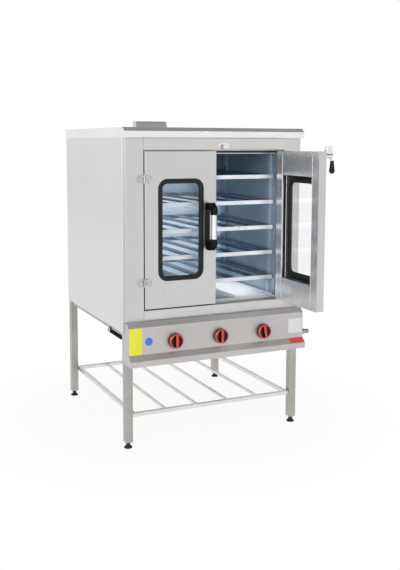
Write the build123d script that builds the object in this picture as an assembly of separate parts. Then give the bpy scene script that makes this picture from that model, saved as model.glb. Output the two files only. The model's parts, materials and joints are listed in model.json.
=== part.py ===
from build123d import *
import os

# Gas pastry oven on a stand: a two-door baking chamber with removable racks, a gas control
# panel under it and a tube stand with a slatted lower shelf on levelling feet.
# Millimetres, +Z up, the doors face -Y. The origin is on the floor under the middle of the
# cabinet. The right door stands open and the left door is shut, as the oven is shown.

# --- whole oven
width = 1000.0            # over the side panels
depth = 960.0             # closed doors' outer faces to the back of the cabinet
body_bottom = 640.0       # underside of the front frame
sill_rail = 51.0          # front frame below the doorway
header_rail = 60.0        # front frame above the doorway
gauge = 1.5               # sheet thickness
bend = 2.5                # bend radius of the folded sheets

# --- doors
door_height = 777.0
door_thickness = 42.5
doorway_half = 395.0      # half the clear width between the jambs
door_gap = 5.0            # gap round the doors
meeting_gap = 4.0         # gap between the two doors
open_angle = 90.0         # how far the right door stands open

# --- window in each door
window_side = 70.0        # door's edge to the rubber, each side
window_height = 507.0
window_corner = 50.0
rubber_band = 24.0        # face width of the rubber
rubber_proud = 3.0
rubber_lip = 12.0         # rubber that lies over the skin
rubber_rear_lip = 3.0
glass_thickness = 5.0
glass_bite = 6.0          # glass held inside the rubber
glass_setback = 6.0       # door face to glass
well_margin = 13.0        # rubber to the inner skin's window well

# --- hinges
hinge_spread = 254.0      # window's middle to each hinge's middle
hinge_height = 40.0
leaf_reach = 38.5         # pin axis to the leaf's far end
leaf_thickness = 2.5
leaf_corner = 15.0
knuckle_radius = 6.0
knuckle_standoff = 0.5    # knuckle to the face behind it
pin_radius = 3.0
pin_head = 1.5
knuckle_gap = 0.5         # between neighbouring knuckles
running_clearance = 0.05  # radial, for pins and shafts that turn or slide

# --- left door's pull handle
handle_clear = 4.0        # rubber to the handle
handle_rise = 14.5        # window's middle to the handle's middle
handle_length = 238.0
handle_width = 28.0
handle_base = 6.0
grip_standoff = 80.0
grip_radius = 13.5
grip_length = 120.0
grip_spigot = 8.0
handle_round = 5.0
handle_heel = 22.0        # elbow's sloping corner at the door, out and down
handle_heel_drop = 34.0
handle_nose = 32.0        # the same at the grip
handle_nose_drop = 28.0
handle_crown = 12.0       # rounding of the elbow's top

# --- latch and its catch
catch_x = 38.5
catch_rise = 28.0         # top of the doors to the catch's middle
catch_width = 61.5
catch_height = 24.5
catch_plate = 2.0
tongue_width = 19.0
tongue_drop = 25.0
tongue_standoff = 16.0
tongue_thickness = 3.0
latch_drop = 21.0         # top of the doors to the latch's pivot
latch_beside = 3.0        # hanging hook to the catch's tongue
latch_plate_width = 34.0
latch_plate_height = 40.0
latch_plate_thickness = 2.5
latch_hub_radius = 11.0
latch_hub_length = 42.0
latch_pin_radius = 4.0
latch_head = 1.5
latch_arm = 4.0           # thickness of the hook
latch_play = 0.5          # along the pin, each end of the hub
hook_top = 47.0           # pivot to the top of the hook
hook_width = 8.0
hook_off = 4.0            # door face to the hook
hook_curl = 12.0          # height of the hook's curled end
hook_curl_out = 6.0
latch_web = 28.0          # pivot to the top of the lever's web
finger_width = 20.0       # finger piece, along the pin
latch_rod_radius = 3.5
latch_rod_bend = 6.0
latch_rod_depth = 16.0    # rod inside the knob
latch_knob_neck = 9.0
latch_knob_radius = 14.0
latch_knob_length = 63.0
latch_knob_drop = 23.0    # pivot to the knob's top
latch_knob_off = 45.0     # door face to the knob's axis

# --- chamber
mouth_flange = 20.0       # face of the mouth frame that shows in the doorway
mouth_sill = 17.0
chamber_depth = 800.0     # mouth frame to the back wall
chamber_step = 8.0        # sill of the mouth to the chamber's floor
seal_width = 10.0
seal_clear = 0.5          # closed door to the seal
seal_depth = 9.0
seal_corner = 22.0

# --- racks and their supports
rack_count = 5
rack_rise = 102.0         # chamber's floor to the middle of the lowest rack's frame
rack_pitch = 134.0
rack_bar = 20.0           # height of the rack's frame
rack_bar_depth = 12.0
rack_side_play = 1.0
rack_front = 8.0          # mouth frame to the rack
rack_depth = 768.0
slat_count = 5
slat_width = 48.0
slat_thickness = 4.0
post_depth = 26.0
post_thickness = 8.0
post_inset = 50.0         # mouth frame to the front posts
post_rear_inset = 215.0   # chamber's back wall to the rear posts
runner_thickness = 2.0
runner_shelf = 17.0
runner_height = 18.0

# --- burner covers and burners
cover_inner = 155.0       # half the gap between the two covers
cover_height = 12.0
cover_sheet = 2.0
cover_corner = 30.0
cover_side_play = 3.0
cover_front_play = 3.0
cover_depth = 763.0
burner_radius = 20.0
burner_wall = 1.5
burner_foot = 8.0
burner_front = 92.0
burner_rear = 48.5        # burner's end to the chamber's back wall

# --- control panel under the doors
panel_shelf = 26.0        # front plane to the upper slope
panel_out = 46.0          # front plane to the panel's face
panel_slope = 19.5
panel_face = 134.0
panel_lip_out = 74.0
panel_lip_slope = 25.0
panel_lip = 29.0
panel_lip_return = 18.0
panel_flange_end = 6.0
cheek_reach = 48.0
cheek_notch_y = 14.0
cheek_clear = 2.0

# --- gas line and knobs
knob_pitch = 250.0
knob_below = 12.0         # middle of the panel's face to the knobs
knob_radius = 38.0
knob_ring_radius = 36.0
knob_stand = 6.0          # panel to the knob's skirt
knob_skirt = 9.0
knob_ring = 13.0
knob_ring_wall = 5.5
knob_ring_round = 3.5
knob_chamfer = 2.0
knob_dish = 6.0           # floor of the knob's face above its skirt
knob_grip_width = 17.0
knob_grip_proud = 4.0
knob_pointer = 13.0       # red bar across the knob
knob_pointer_inset = 4.0  # depth of the bar in the grip
stem_radius = 4.5
stem_flat = 3.2
stem_engaged = 12.0       # stem inside the knob with the knob out
knob_push = 4.0           # how far the knob pushes in
knob_bore_end = 1.0       # bore left past the stem with the knob pushed in
knob_turns = (0.0, 0.0, 10.0)   # degrees each knob stands turned from upright
plug_radius = 7.0
plug_length = 21.0
plug_proud = 3.0
panel_hole_clear = 1.5
valve_length = 34.0
valve_radius = 13.0
valve_stub = 9.0
valve_back = 4.0
manifold_radius = 13.5
manifold_wall = 2.5
manifold_y = -20.0
manifold_drop = 34.0      # knobs to the manifold
manifold_over = 50.0      # manifold past the left knob
inlet_radius = 10.5
inlet_bore = 7.5
inlet_length = 29.0
hex_flats = 28.0
hex_gap = 6.0             # inside face of the cheek to the hexagon
hex_length = 18.0
injector_radius = 5.0
injector_bore = 3.5
injector_bend = 13.0
injector_rise = 62.0
pipe_clear = 2.0

# --- control tray
tray_pipe_clear = 8.0     # riser pipes to the tray's front edge
tray_back = 275.0
tray_drop = 100.0
tray_flange = 35.0
tray_inset = 8.5
notch_clear = 1.0

# --- cladding
panel_drop = 55.0         # side panels below the front frame
panel_setback = 17.0      # front plane to the side panels' front edges
panel_return = 8.0
jamb_return = 40.0
rail_return = 25.0
lid_overhang = 20.0
lid_flange = 32.0
lid_height = 50.0
lid_chamfer = 21.0
lid_side = 0.5
lid_rear = 2.0
lid_return = 30.0

# --- flue
duct_width = 170.0
duct_depth = 50.0
duct_wall = 1.5
duct_inset = 5.0          # back of the cowl to the duct
duct_port_drop = 68.0     # chamber's roof to the port's lower edge
duct_port_height = 50.0
duct_above = 12.0
cowl_side = 13.0          # duct to the cowl's outside, each side
cowl_front = 15.0         # duct to the cowl's foot
cowl_fold_in = 13.0       # cowl's foot to its fold
cowl_top_in = 20.0        # cowl's foot to its top edge
cowl_height = 52.0
cowl_fold = 35.0
cowl_rear = 30.0

# --- stand
leg_size = 40.0
leg_wall = 2.0
leg_corner = 4.0
leg_front = 8.0           # front plane to the front legs
leg_rear = 14.0           # rear legs behind the cabinet
leg_bottom = 31.0
leg_plate = 6.0
rail_size = 25.0
rail_drop = 55.0          # cabinet floor to the rails' tops
shelf_tube = 20.0
shelf_rod = 14.0
shelf_top = 175.0
shelf_rods = 4
tube_wall = 1.5
shelf_side_gap = 1.0

# --- levelling feet
foot_radius = 21.0
foot_pad = 8.0
foot_neck_radius = 11.0
foot_neck = 24.0
foot_stem_radius = 6.0
foot_stem_top = 75.0

# --- derived
front = -depth / 2
back = depth / 2
side_in = width / 2 - panel_return            # frame, legs and panel share this plane
door_bottom = body_bottom + sill_rail + door_gap
door_top = door_bottom + door_height
doorway_bottom = door_bottom - door_gap
doorway_top = door_top + door_gap
body_top = doorway_top + header_rail
door_edge = doorway_half - door_gap
door_middle = (door_edge + meeting_gap / 2) / 2
door_width = door_edge - meeting_gap / 2
window_middle = door_bottom + door_height / 2
window_width = door_width - 2 * window_side
hinge_upper = window_middle + hinge_spread
hinge_lower = window_middle - hinge_spread
handle_x = handle_clear + handle_width / 2 - meeting_gap / 2 - window_side
handle_middle = window_middle + handle_rise
catch_z = door_top + catch_rise
latch_z = door_top - latch_drop
latch_x = catch_x - (tongue_width + hook_width) / 2 - latch_beside
axis_x = doorway_half - door_gap / 2
axis_y = front - knuckle_radius - knuckle_standoff
mouth_y = front + door_thickness + seal_clear + seal_depth
mouth_half = doorway_half - mouth_flange
chamber_front = mouth_y + gauge
chamber_back = chamber_front + chamber_depth
mouth_top = doorway_top - mouth_flange
mouth_bottom = doorway_bottom + mouth_sill
chamber_floor = mouth_bottom - chamber_step
rack_first = chamber_floor + rack_rise
burner_z = body_bottom + burner_foot + burner_radius
duct_port = mouth_top - duct_port_drop
pan_bottom = body_bottom - gauge
panel_face_y = front - panel_out
panel_top = pan_bottom
face_top = panel_top - panel_slope
face_bottom = face_top - panel_face
lip_top = face_bottom - panel_lip_slope
lip_bottom = lip_top - panel_lip
knob_z = (face_top + face_bottom) / 2 - knob_below
manifold_z = knob_z - manifold_drop
manifold_left = knob_pitch + manifold_over
hex_start = side_in + hex_gap
inlet_end = hex_start + hex_length + inlet_length
side_bottom = body_bottom - panel_drop
lid_top = body_top + lid_height
leg_x = side_in - leg_size / 2
leg_front_y = front + leg_front + leg_size / 2
leg_rear_y = back + leg_rear - leg_size / 2
rail_top = body_bottom - rail_drop
tray_bottom = body_bottom - tray_drop
rack_half = mouth_half - post_thickness - runner_thickness - rack_side_play
duct_back = back - cowl_rear - duct_inset
cowl_width = duct_width + 2 * cowl_side
cowl_base_depth = duct_inset + duct_depth + cowl_front


def block(x0, x1, y0, y1, z0, z1):
    size = (x1 - x0, y1 - y0, z1 - z0)
    middle = ((x0 + x1) / 2, (y0 + y1) / 2, (z0 + z1) / 2)
    return Pos(*middle) * Box(*size)


def mirrored(shape):
    return mirror(shape, Plane.YZ)


def sheet_face(points, radius=bend, thickness=gauge, side=Side.LEFT):
    path = FilletPolyline(*points, radius=radius)
    return make_face(offset(path, amount=thickness, side=side))


def folded_along_x(points, x0, x1, side=Side.LEFT):
    face = Plane.YZ * sheet_face(points, side=side)
    return Pos(x0, 0, 0) * extrude(face, x1 - x0)


def folded_along_z(points, z0, z1, side=Side.LEFT):
    return Pos(0, 0, z0) * extrude(sheet_face(points, side=side), z1 - z0)


def square_tube(size, wall, length, corner):
    outer = RectangleRounded(size, size, corner)
    inner = RectangleRounded(size - 2 * wall, size - 2 * wall, max(corner - wall, 0.5))
    return extrude(outer - inner, length)


def tube_x(x0, x1, y, z, size):
    tube = square_tube(size, tube_wall, x1 - x0, tube_wall * 1.5)
    return Pos(x0, y, z) * Rot(0, 90, 0) * tube


def tube_y(x, y0, y1, z, size):
    tube = square_tube(size, tube_wall, y1 - y0, tube_wall * 1.5)
    return Pos(x, y0, z) * Rot(-90, 0, 0) * tube


def swept(points, bend_radius, radius):
    # a round bar along straight runs joined by tangent arcs
    path = FilletPolyline(*points, radius=bend_radius)
    start = Plane(origin=path @ 0, z_dir=path % 0)
    return sweep(start * Circle(radius), path=path)


def rounded_slab(w, h, corner, y0, y1, x, z):
    # a rounded rectangle facing -Y, from y0 to y1
    outline = Plane.XZ * RectangleRounded(w, h, corner)
    return Pos(x, y1, z) * extrude(outline, y1 - y0)


def disc_y(radius, y0, y1, x, z):
    return Pos(x, (y0 + y1) / 2, z) * Rot(90, 0, 0) * Cylinder(radius, y1 - y0)


# ---------------------------------------------------------------- stand
def make_legs():
    tube = square_tube(leg_size, leg_wall, pan_bottom - leg_bottom, leg_corner)
    inside = leg_size - 2 * leg_wall
    plate = Pos(0, 0, leg_plate / 2) * Box(inside, inside, leg_plate)
    bore = Cylinder(foot_stem_radius + running_clearance, 4 * leg_plate)
    leg = tube + plate - bore
    spots = [(sx * leg_x, y) for y in (leg_front_y, leg_rear_y) for sx in (-1, 1)]
    return [Pos(x, y, leg_bottom) * leg for x, y in spots]


def make_stand_rails():
    z = rail_top - rail_size / 2
    half = leg_size / 2
    side = tube_y(-leg_x, leg_front_y + half, leg_rear_y - half, z, rail_size)
    ends = [tube_x(-leg_x + half, leg_x - half, y, z, rail_size) for y in (leg_front_y, leg_rear_y)]
    return [side, mirrored(side)] + ends


def make_lower_shelf():
    half = leg_size / 2
    z = shelf_top - shelf_tube / 2
    bars = [tube_x(-leg_x + half, leg_x - half, y, z, shelf_tube) for y in (leg_front_y, leg_rear_y)]
    y0 = leg_front_y + shelf_tube / 2
    y1 = leg_rear_y - shelf_tube / 2
    side_x = leg_x - half - shelf_tube / 2 - shelf_side_gap
    sides = [tube_y(s * side_x, y0, y1, z, shelf_tube) for s in (-1, 1)]
    pitch = 2 * side_x / (shelf_rods + 1)
    rods = [tube_y(-side_x + pitch * (i + 1), y0, y1, z, shelf_rod) for i in range(shelf_rods)]
    return Compound(bars + sides + rods)


def make_foot():
    profile = [(0, 0), (foot_radius, 0), (foot_radius, foot_pad * 0.6), (foot_radius - 3, foot_pad),
               (foot_neck_radius + 2, foot_pad + 3), (foot_neck_radius, foot_pad + 6),
               (foot_neck_radius, foot_neck), (foot_stem_radius, foot_neck),
               (foot_stem_radius, foot_stem_top), (0, foot_stem_top), (0, 0)]
    return revolve(Plane.XZ * make_face(Polyline(*profile)), Axis.Z)


# ---------------------------------------------------------------- cladding
def make_side_panel():
    x = -width / 2
    y0 = front + panel_setback
    wrap = [(x + panel_return, y0), (x, y0), (x, back), (x + panel_return, back)]
    panel = folded_along_z(wrap, side_bottom, body_top, Side.RIGHT)
    hem = block(x + gauge, x + panel_return, y0 + bend + gauge, back - bend - gauge, side_bottom,
                side_bottom + gauge)
    return panel + hem


def make_back_panel():
    return block(-side_in, side_in, back - gauge, back, body_bottom, body_top)


def make_base_pan():
    pan = block(-side_in + gauge, side_in - gauge, front + gauge, back - gauge, pan_bottom, body_bottom)
    for x in knob_places():
        pan -= Pos(x, front + injector_rise, body_bottom) * Cylinder(injector_radius + pipe_clear, 4 * gauge)
    return pan


def make_lid():
    y0 = front - lid_overhang
    y1 = back + lid_rear
    wrap = [(front + lid_return, body_top), (y0, body_top), (y0, body_top + lid_flange),
            (y0 + lid_chamfer, lid_top), (y1, lid_top), (y1, body_top)]
    half = width / 2 + lid_side
    lid = folded_along_x(wrap, -half + gauge, half - gauge, Side.RIGHT)
    end = make_face(Polyline(*wrap[1:], wrap[1]))
    plate = extrude(Plane.YZ * end, gauge)
    lid += Pos(-half, 0, 0) * plate
    lid += Pos(half - gauge, 0, 0) * plate
    w = duct_width + 2 * notch_clear
    hole = block(-w / 2, w / 2, duct_back - duct_depth - notch_clear, duct_back + notch_clear,
                 body_top + lid_flange, lid_top + gauge)
    return lid - hole


def make_duct():
    def ell(grow):
        half = duct_width / 2 - grow
        y0 = duct_back - duct_depth + grow
        y1 = duct_back - grow
        z0 = duct_port + grow
        rise = block(-half, half, y0, y1, z0, lid_top + duct_above + (1 if grow else 0))
        run = block(-half, half, chamber_back + gauge - (1 if grow else 0), y1, z0,
                    duct_port + duct_port_height - grow)
        return rise + run
    return ell(0) - ell(duct_wall)


def make_cowl():
    yb = back - cowl_rear
    z0 = lid_top
    z1 = lid_top + cowl_height
    y0 = yb - cowl_base_depth
    slope = [(y0, z0), (y0 + cowl_fold_in, z0 + cowl_fold), (y0 + cowl_top_in, z1)]
    half = cowl_width / 2
    cowl = folded_along_x(slope, -half, half, Side.RIGHT)
    cowl += block(-half, half, yb - gauge, yb, z0, z1)
    end = Plane.YZ * make_face(Polyline(*slope, (yb, z1), (yb, z0), slope[0]))
    for x in (-half, half - gauge):
        cowl += Pos(x, 0, 0) * extrude(end, gauge)
    return cowl & block(-half, half, y0 - 1, yb, z0, z1)


# ---------------------------------------------------------------- front frame
def make_jamb():
    wrap = [(-side_in, front + jamb_return), (-side_in, front), (-doorway_half, front),
            (-doorway_half, mouth_y)]
    return folded_along_z(wrap, body_bottom, body_top)


def make_top_rail():
    wrap = [(front + rail_return, body_top), (front, body_top), (front, doorway_top), (mouth_y, doorway_top)]
    return folded_along_x(wrap, -doorway_half, doorway_half)


def make_bottom_rail():
    wrap = [(front + rail_return, body_bottom), (front, body_bottom), (front, doorway_bottom),
            (mouth_y, doorway_bottom)]
    return folded_along_x(wrap, -doorway_half, doorway_half, Side.RIGHT)


def make_mouth_frame():
    half = doorway_half + gauge
    plate = block(-half, half, mouth_y, chamber_front, doorway_bottom - gauge, doorway_top + gauge)
    return plate - block(-mouth_half, mouth_half, mouth_y - 1, chamber_front + 1, mouth_bottom, mouth_top)


def make_door_seal():
    # a hollow rubber bead round the mouth, just clear of the closed doors
    z0 = doorway_bottom + mouth_sill / 2 - seal_width / 2
    z1 = mouth_top + mouth_flange / 2 + seal_width / 2
    half = mouth_half + mouth_flange / 2 + seal_width / 2
    y0 = front + door_thickness + seal_clear
    middle = (z0 + z1) / 2
    outer = rounded_slab(2 * half, z1 - z0, seal_corner, y0, mouth_y, 0, middle)
    inner = rounded_slab(2 * (half - seal_width), z1 - z0 - 2 * seal_width, seal_corner - seal_width,
                         y0 - 1, mouth_y + 1, 0, middle)
    bead = outer - inner
    return fillet(bead.faces().sort_by(Axis.Y)[0].edges(), seal_width * 0.3)


# ---------------------------------------------------------------- chamber
def make_liner():
    x1 = mouth_half + gauge
    z0 = chamber_floor - gauge
    z1 = mouth_top + gauge
    left = block(-x1, -mouth_half, chamber_front, chamber_back, z0, z1)
    top = block(-mouth_half, mouth_half, chamber_front, chamber_back, mouth_top, z1)
    floor = block(-mouth_half, mouth_half, chamber_front, chamber_back, z0, chamber_floor)
    rear = block(-x1, x1, chamber_back, chamber_back + gauge, z0, z1)
    half = duct_width / 2 - duct_wall
    rear -= block(-half, half, chamber_back - 1, chamber_back + 2 * gauge, duct_port + duct_wall,
                  duct_port + duct_port_height - duct_wall)
    return Compound([left, mirrored(left), top, floor, rear])


def make_insulation():
    x0 = mouth_half + gauge
    x1 = side_in
    y1 = back - gauge
    side = block(-x1, -x0, chamber_front, y1, body_bottom, body_top)
    top = block(-x0, x0, chamber_front, chamber_back + gauge, mouth_top + gauge, body_top)
    rear = block(-x0, x0, chamber_back + gauge, y1, body_bottom, body_top)
    half = duct_width / 2
    rear -= block(-half, half, chamber_back, duct_back, duct_port, duct_port + duct_port_height)
    rear -= block(-half, half, duct_back - duct_depth, duct_back, duct_port, body_top + 1)
    return Compound([side, mirrored(side), top, rear])


def rack_heights():
    return [rack_first + rack_pitch * i for i in range(rack_count)]


def make_rack_supports():
    x1 = mouth_half
    x0 = mouth_half - post_thickness
    solids = []
    for y in (chamber_front + post_inset, chamber_back - post_rear_inset - post_depth):
        solids.append(block(x0, x1, y, y + post_depth, chamber_floor, mouth_top))
    y0 = chamber_front + rack_front
    y1 = y0 + rack_depth
    for z in rack_heights():
        z0 = z - rack_bar / 2 - runner_thickness
        angle = [(x0 - runner_shelf, z0), (x0, z0), (x0, z0 + runner_height)]
        face = sheet_face(angle, thickness=runner_thickness)
        solids.append(Pos(0, y1, 0) * extrude(Plane.XZ * face, y1 - y0))
    return Compound(solids + [mirrored(s) for s in solids])


def make_rack(z):
    y0 = chamber_front + rack_front
    y1 = y0 + rack_depth
    z0 = z - rack_bar / 2
    z1 = z + rack_bar / 2
    rack = block(-rack_half, rack_half, y0, y1, z0, z1)
    rack -= block(-rack_half + rack_bar_depth, rack_half - rack_bar_depth, y0 + rack_bar_depth,
                  y1 - rack_bar_depth, z0 - 1, z1 + 1)
    inner = rack_half - rack_bar_depth
    gap = (2 * inner - slat_count * slat_width) / (slat_count + 1)
    for i in range(slat_count):
        x = -inner + gap * (i + 1) + slat_width * i
        rack += block(x, x + slat_width, y0 + rack_bar_depth, y1 - rack_bar_depth, z1 - slat_thickness, z1)
    return rack


def make_burner_cover():
    x0 = cover_inner
    x1 = mouth_half - post_thickness - cover_side_play
    y0 = chamber_front + cover_front_play
    y1 = y0 + cover_depth
    z1 = chamber_floor + cover_height
    cover = block(x0, x1, y0, y1, chamber_floor, z1)
    well = block(x0 + cover_sheet, x1 - cover_sheet, y0 + cover_sheet, y1 - cover_sheet,
                 chamber_floor - 1, z1 - cover_sheet)
    corner = cover.edges().filter_by(Axis.Z).group_by(Axis.Y)[0].sort_by(Axis.X)[0]
    inner_corner = well.edges().filter_by(Axis.Z).group_by(Axis.Y)[0].sort_by(Axis.X)[0]
    return chamfer(corner, cover_corner) - chamfer(inner_corner, cover_corner - cover_sheet * 0.6)


def make_burners():
    y0 = front + burner_front
    y1 = chamber_back - burner_rear
    solids = []
    for x in knob_places():
        tube = disc_y(burner_radius, y0, y1, x, burner_z)
        hollow = disc_y(burner_radius - burner_wall, y0 + burner_wall, y1 - burner_wall, x, burner_z)
        port = disc_y(injector_bore, y0 - 1, y0 + 2 * burner_wall, x, burner_z)
        feet = [block(x - burner_radius, x + burner_radius, y, y + burner_radius, body_bottom,
                      burner_z - burner_radius * 0.9) for y in (y0 + burner_radius, y1 - 2 * burner_radius)]
        solids.append(tube + feet - hollow - port)
    return solids


# ---------------------------------------------------------------- control panel and gas line
def knob_places():
    return [-knob_pitch, 0.0, knob_pitch]


def panel_profile():
    return [(front + panel_flange_end, panel_top), (front - panel_shelf, panel_top), (panel_face_y, face_top),
            (panel_face_y, face_bottom), (front - panel_lip_out, lip_top), (front - panel_lip_out, lip_bottom),
            (front - panel_lip_out + panel_lip_return, lip_bottom)]


def make_control_panel():
    panel = folded_along_x(panel_profile(), -side_in, side_in)
    for x in knob_places():
        panel -= disc_y(stem_radius + panel_hole_clear, panel_face_y - 1, panel_face_y + 4 * gauge, x, knob_z)
    return panel


def make_cheeks():
    notch = side_bottom - cheek_clear
    edge = [(front + cheek_notch_y, panel_top), (front + cheek_notch_y, notch),
            (front + cheek_reach, notch), (front + cheek_reach, lip_bottom)]
    outline = Polyline(*panel_profile()[1:-1], *reversed(edge), panel_profile()[1])
    plate = extrude(Plane.YZ * make_face(outline), gauge)
    left = Pos(-side_in - gauge, 0, 0) * plate
    right = Pos(side_in, 0, 0) * plate
    pipe = Pos(side_in, front + manifold_y, manifold_z) * Rot(0, 90, 0)
    return Compound([left, right - pipe * Cylinder(manifold_radius + pipe_clear, 4 * gauge)])


def make_control_tray():
    half = side_in - tray_inset + panel_return - gauge
    y0 = front + injector_rise + injector_radius + tray_pipe_clear
    y1 = front + tray_back
    tray = block(-half, half, y0, y1, tray_bottom, tray_bottom + gauge)
    tray += block(-half, half, y1 - gauge, y1, tray_bottom, pan_bottom)
    for x in (-half, half - gauge):
        tray += block(x, x + gauge, y1 - tray_flange, y1, tray_bottom, pan_bottom)
    r = rail_size / 2 + notch_clear
    z = rail_top - rail_size / 2
    for x in (-leg_x, leg_x):
        tray -= block(x - r, x + r, y0 - 1, y1 + 1, z - r, z + r)
    return tray


def make_gas_pipes():
    x0 = -manifold_left
    manifold = Rot(0, 90, 0) * (Cylinder(manifold_radius, hex_start - x0)
                                - Pos(0, 0, manifold_wall) * Cylinder(manifold_radius - manifold_wall,
                                                                      hex_start - x0))
    manifold = Pos((x0 + hex_start) / 2, front + manifold_y, manifold_z) * manifold
    nut = extrude(RegularPolygon(hex_flats / 2, 6, major_radius=False), hex_length)
    nipple = Cylinder(inlet_radius, inlet_end - hex_start, align=(Align.CENTER, Align.CENTER, Align.MIN))
    nipple = nut + nipple - Cylinder(inlet_bore, 4 * inlet_end)
    inlet = Pos(hex_start, front + manifold_y, manifold_z) * Rot(0, 90, 0) * nipple
    pipes = [manifold, inlet]
    y0 = front + valve_back
    for x in knob_places():
        points = [(x, y0, knob_z), (x, front + injector_rise, knob_z), (x, front + injector_rise, burner_z),
                  (x, front + burner_front, burner_z)]
        pipes.append(swept(points, injector_bend, injector_radius) - swept(points, injector_bend, injector_bore))
    return pipes


def valve_front():
    return front + valve_back - valve_length


def make_valves():
    solids = []
    for x in knob_places():
        y0, y1 = valve_front(), front + valve_back
        drop = knob_z - manifold_z
        stub = Pos(x, front + manifold_y, manifold_z + drop / 2) * Cylinder(valve_stub, drop)
        saddle = Pos(x, front + manifold_y, manifold_z) * Rot(0, 90, 0)
        valve = disc_y(valve_radius, y0, y1, x, knob_z) + stub - saddle * Cylinder(manifold_radius, 4 * valve_radius)
        bore = disc_y(plug_radius + running_clearance, y0 - 1, y0 + plug_length - plug_proud, x, knob_z)
        solids.append(valve - bore)
    return Compound(solids)


def stem_section(x, y0, y1, grow):
    # D-shaped stem: round with one flat on top
    flat = knob_z + stem_flat + grow
    r = stem_radius + grow
    return disc_y(r, y0, y1, x, knob_z) - block(x - 2 * r, x + 2 * r, y0 - 1, y1 + 1, flat, flat + 2 * r)


def knob_levels():
    y_back = panel_face_y - knob_stand
    return y_back, y_back - knob_skirt, y_back - knob_skirt - knob_ring


def make_valve_plug(x):
    # the valve's turning plug, with the D-shaped stem that comes out through the panel
    y0 = valve_front() - plug_proud
    plug = disc_y(plug_radius, y0, y0 + plug_length, x, knob_z)
    return plug + stem_section(x, knob_levels()[0] - stem_engaged, y0 + 1, 0)


def make_knob(x):
    # skirt, dished core and raised grip with a slot right across it for the red bar
    y_back, y_skirt, y_ring = knob_levels()
    skirt = disc_y(knob_radius, y_skirt, y_back, x, knob_z)
    skirt = chamfer(skirt.edges().group_by(Axis.Y)[0], knob_chamfer)
    core_radius = knob_ring_radius - knob_ring_wall
    core = disc_y(core_radius, y_skirt - knob_dish, y_skirt, x, knob_z)
    y_grip = y_ring - knob_grip_proud
    grip = block(x - knob_grip_width / 2, x + knob_grip_width / 2, y_grip, y_skirt, knob_z - core_radius,
                 knob_z + core_radius)
    grip &= disc_y(core_radius, y_grip, y_skirt, x, knob_z)
    slot = block(x - knob_pointer / 2, x + knob_pointer / 2, y_grip - 1, y_grip + knob_pointer_inset,
                 knob_z - 2 * core_radius, knob_z + 2 * core_radius)
    bore = stem_section(x, y_back - stem_engaged - knob_push - knob_bore_end, y_back + 1, running_clearance)
    return skirt + core + grip - slot - bore


def make_knob_ring(x):
    # red ring with a bar across it that fills the grip's slot
    y_back, y_skirt, y_ring = knob_levels()
    ring = disc_y(knob_ring_radius, y_ring, y_skirt, x, knob_z)
    ring = chamfer(ring.edges().group_by(Axis.Y)[0], knob_ring_round)
    core_radius = knob_ring_radius - knob_ring_wall
    ring -= disc_y(core_radius, y_ring - 1, y_skirt + 1, x, knob_z)
    y_grip = y_ring - knob_grip_proud
    half = core_radius + knob_ring_wall / 2
    bar = block(x - knob_pointer / 2, x + knob_pointer / 2, y_grip, y_grip + knob_pointer_inset, knob_z - half,
                knob_z + half)
    return ring + (bar & disc_y(half, y_grip, y_skirt, x, knob_z))


# ---------------------------------------------------------------- doors
def make_door_skin():
    # folded outer skin of the left door: a shallow tray with the window cut-out
    x0, x1 = -door_edge, -meeting_gap / 2
    tray = block(x0, x1, front, front + door_thickness, door_bottom, door_top)
    edges = tray.faces().sort_by(Axis.Y)[0].edges() + tray.edges().filter_by(Axis.Y)
    tray = fillet(edges, bend)
    tray -= block(x0 + gauge, x1 - gauge, front + gauge, front + 2 * door_thickness, door_bottom + gauge,
                  door_top - gauge)
    hole_w = window_width - 2 * rubber_lip
    hole_h = window_height - 2 * rubber_lip
    return tray - rounded_slab(hole_w, hole_h, window_corner - rubber_lip, front - 1, front + 2 * gauge,
                               -door_middle, window_middle)


def make_door_liner():
    x0, x1 = -door_edge + gauge, -meeting_gap / 2 - gauge
    y1 = front + door_thickness
    sheet = block(x0, x1, y1 - gauge, y1, door_bottom + gauge, door_top - gauge)
    w = window_width / 2 + well_margin
    h = window_height / 2 + well_margin
    cx, cz = -door_middle, window_middle
    well = block(cx - w - gauge, cx + w + gauge, front + gauge, y1, cz - h - gauge, cz + h + gauge)
    return sheet + well - block(cx - w, cx + w, front, y1 + 1, cz - h, cz + h)


def make_glass():
    w = window_width - 2 * rubber_band + 2 * glass_bite
    h = window_height - 2 * rubber_band + 2 * glass_bite
    corner = window_corner - rubber_band + glass_bite
    y0 = front + glass_setback
    return rounded_slab(w, h, corner, y0, y0 + glass_thickness, -door_middle, window_middle)


def make_gasket():
    # one rubber profile grips the skin's edge outside and the glass inside
    cx, cz = -door_middle, window_middle
    y_lip = front - rubber_proud
    y_end = front + glass_setback + glass_thickness + rubber_rear_lip
    lip = rounded_slab(window_width, window_height, window_corner, y_lip, front, cx, cz)
    lip = fillet(lip.edges().group_by(Axis.Y)[0], rubber_proud * 0.8)
    core = rounded_slab(window_width - 2 * rubber_lip, window_height - 2 * rubber_lip,
                        window_corner - rubber_lip, front, y_end, cx, cz)
    rear = rounded_slab(window_width, window_height, window_corner, front + gauge,
                        front + gauge + rubber_rear_lip, cx, cz)
    w = window_width - 2 * rubber_band
    h = window_height - 2 * rubber_band
    sight = rounded_slab(w, h, window_corner - rubber_band, y_lip - 1, y_end + 1, cx, cz)
    return lip + core + rear - sight - make_glass()


def hinge_leaf(reach, direction):
    # leaf with rounded outer corners, its inner edge on the knuckle
    leaf = block(0, reach, 0, leaf_thickness, -hinge_height / 2, hinge_height / 2)
    outer = leaf.edges().filter_by(Axis.Y).group_by(Axis.X)[-1]
    leaf = fillet(outer, leaf_corner)
    leaf = Pos(0, -leaf_thickness, 0) * leaf
    return leaf if direction > 0 else mirrored(leaf)


def knuckle_cut():
    r = knuckle_radius + knuckle_gap
    return r, (hinge_height - 2 * knuckle_gap) / 3


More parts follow.
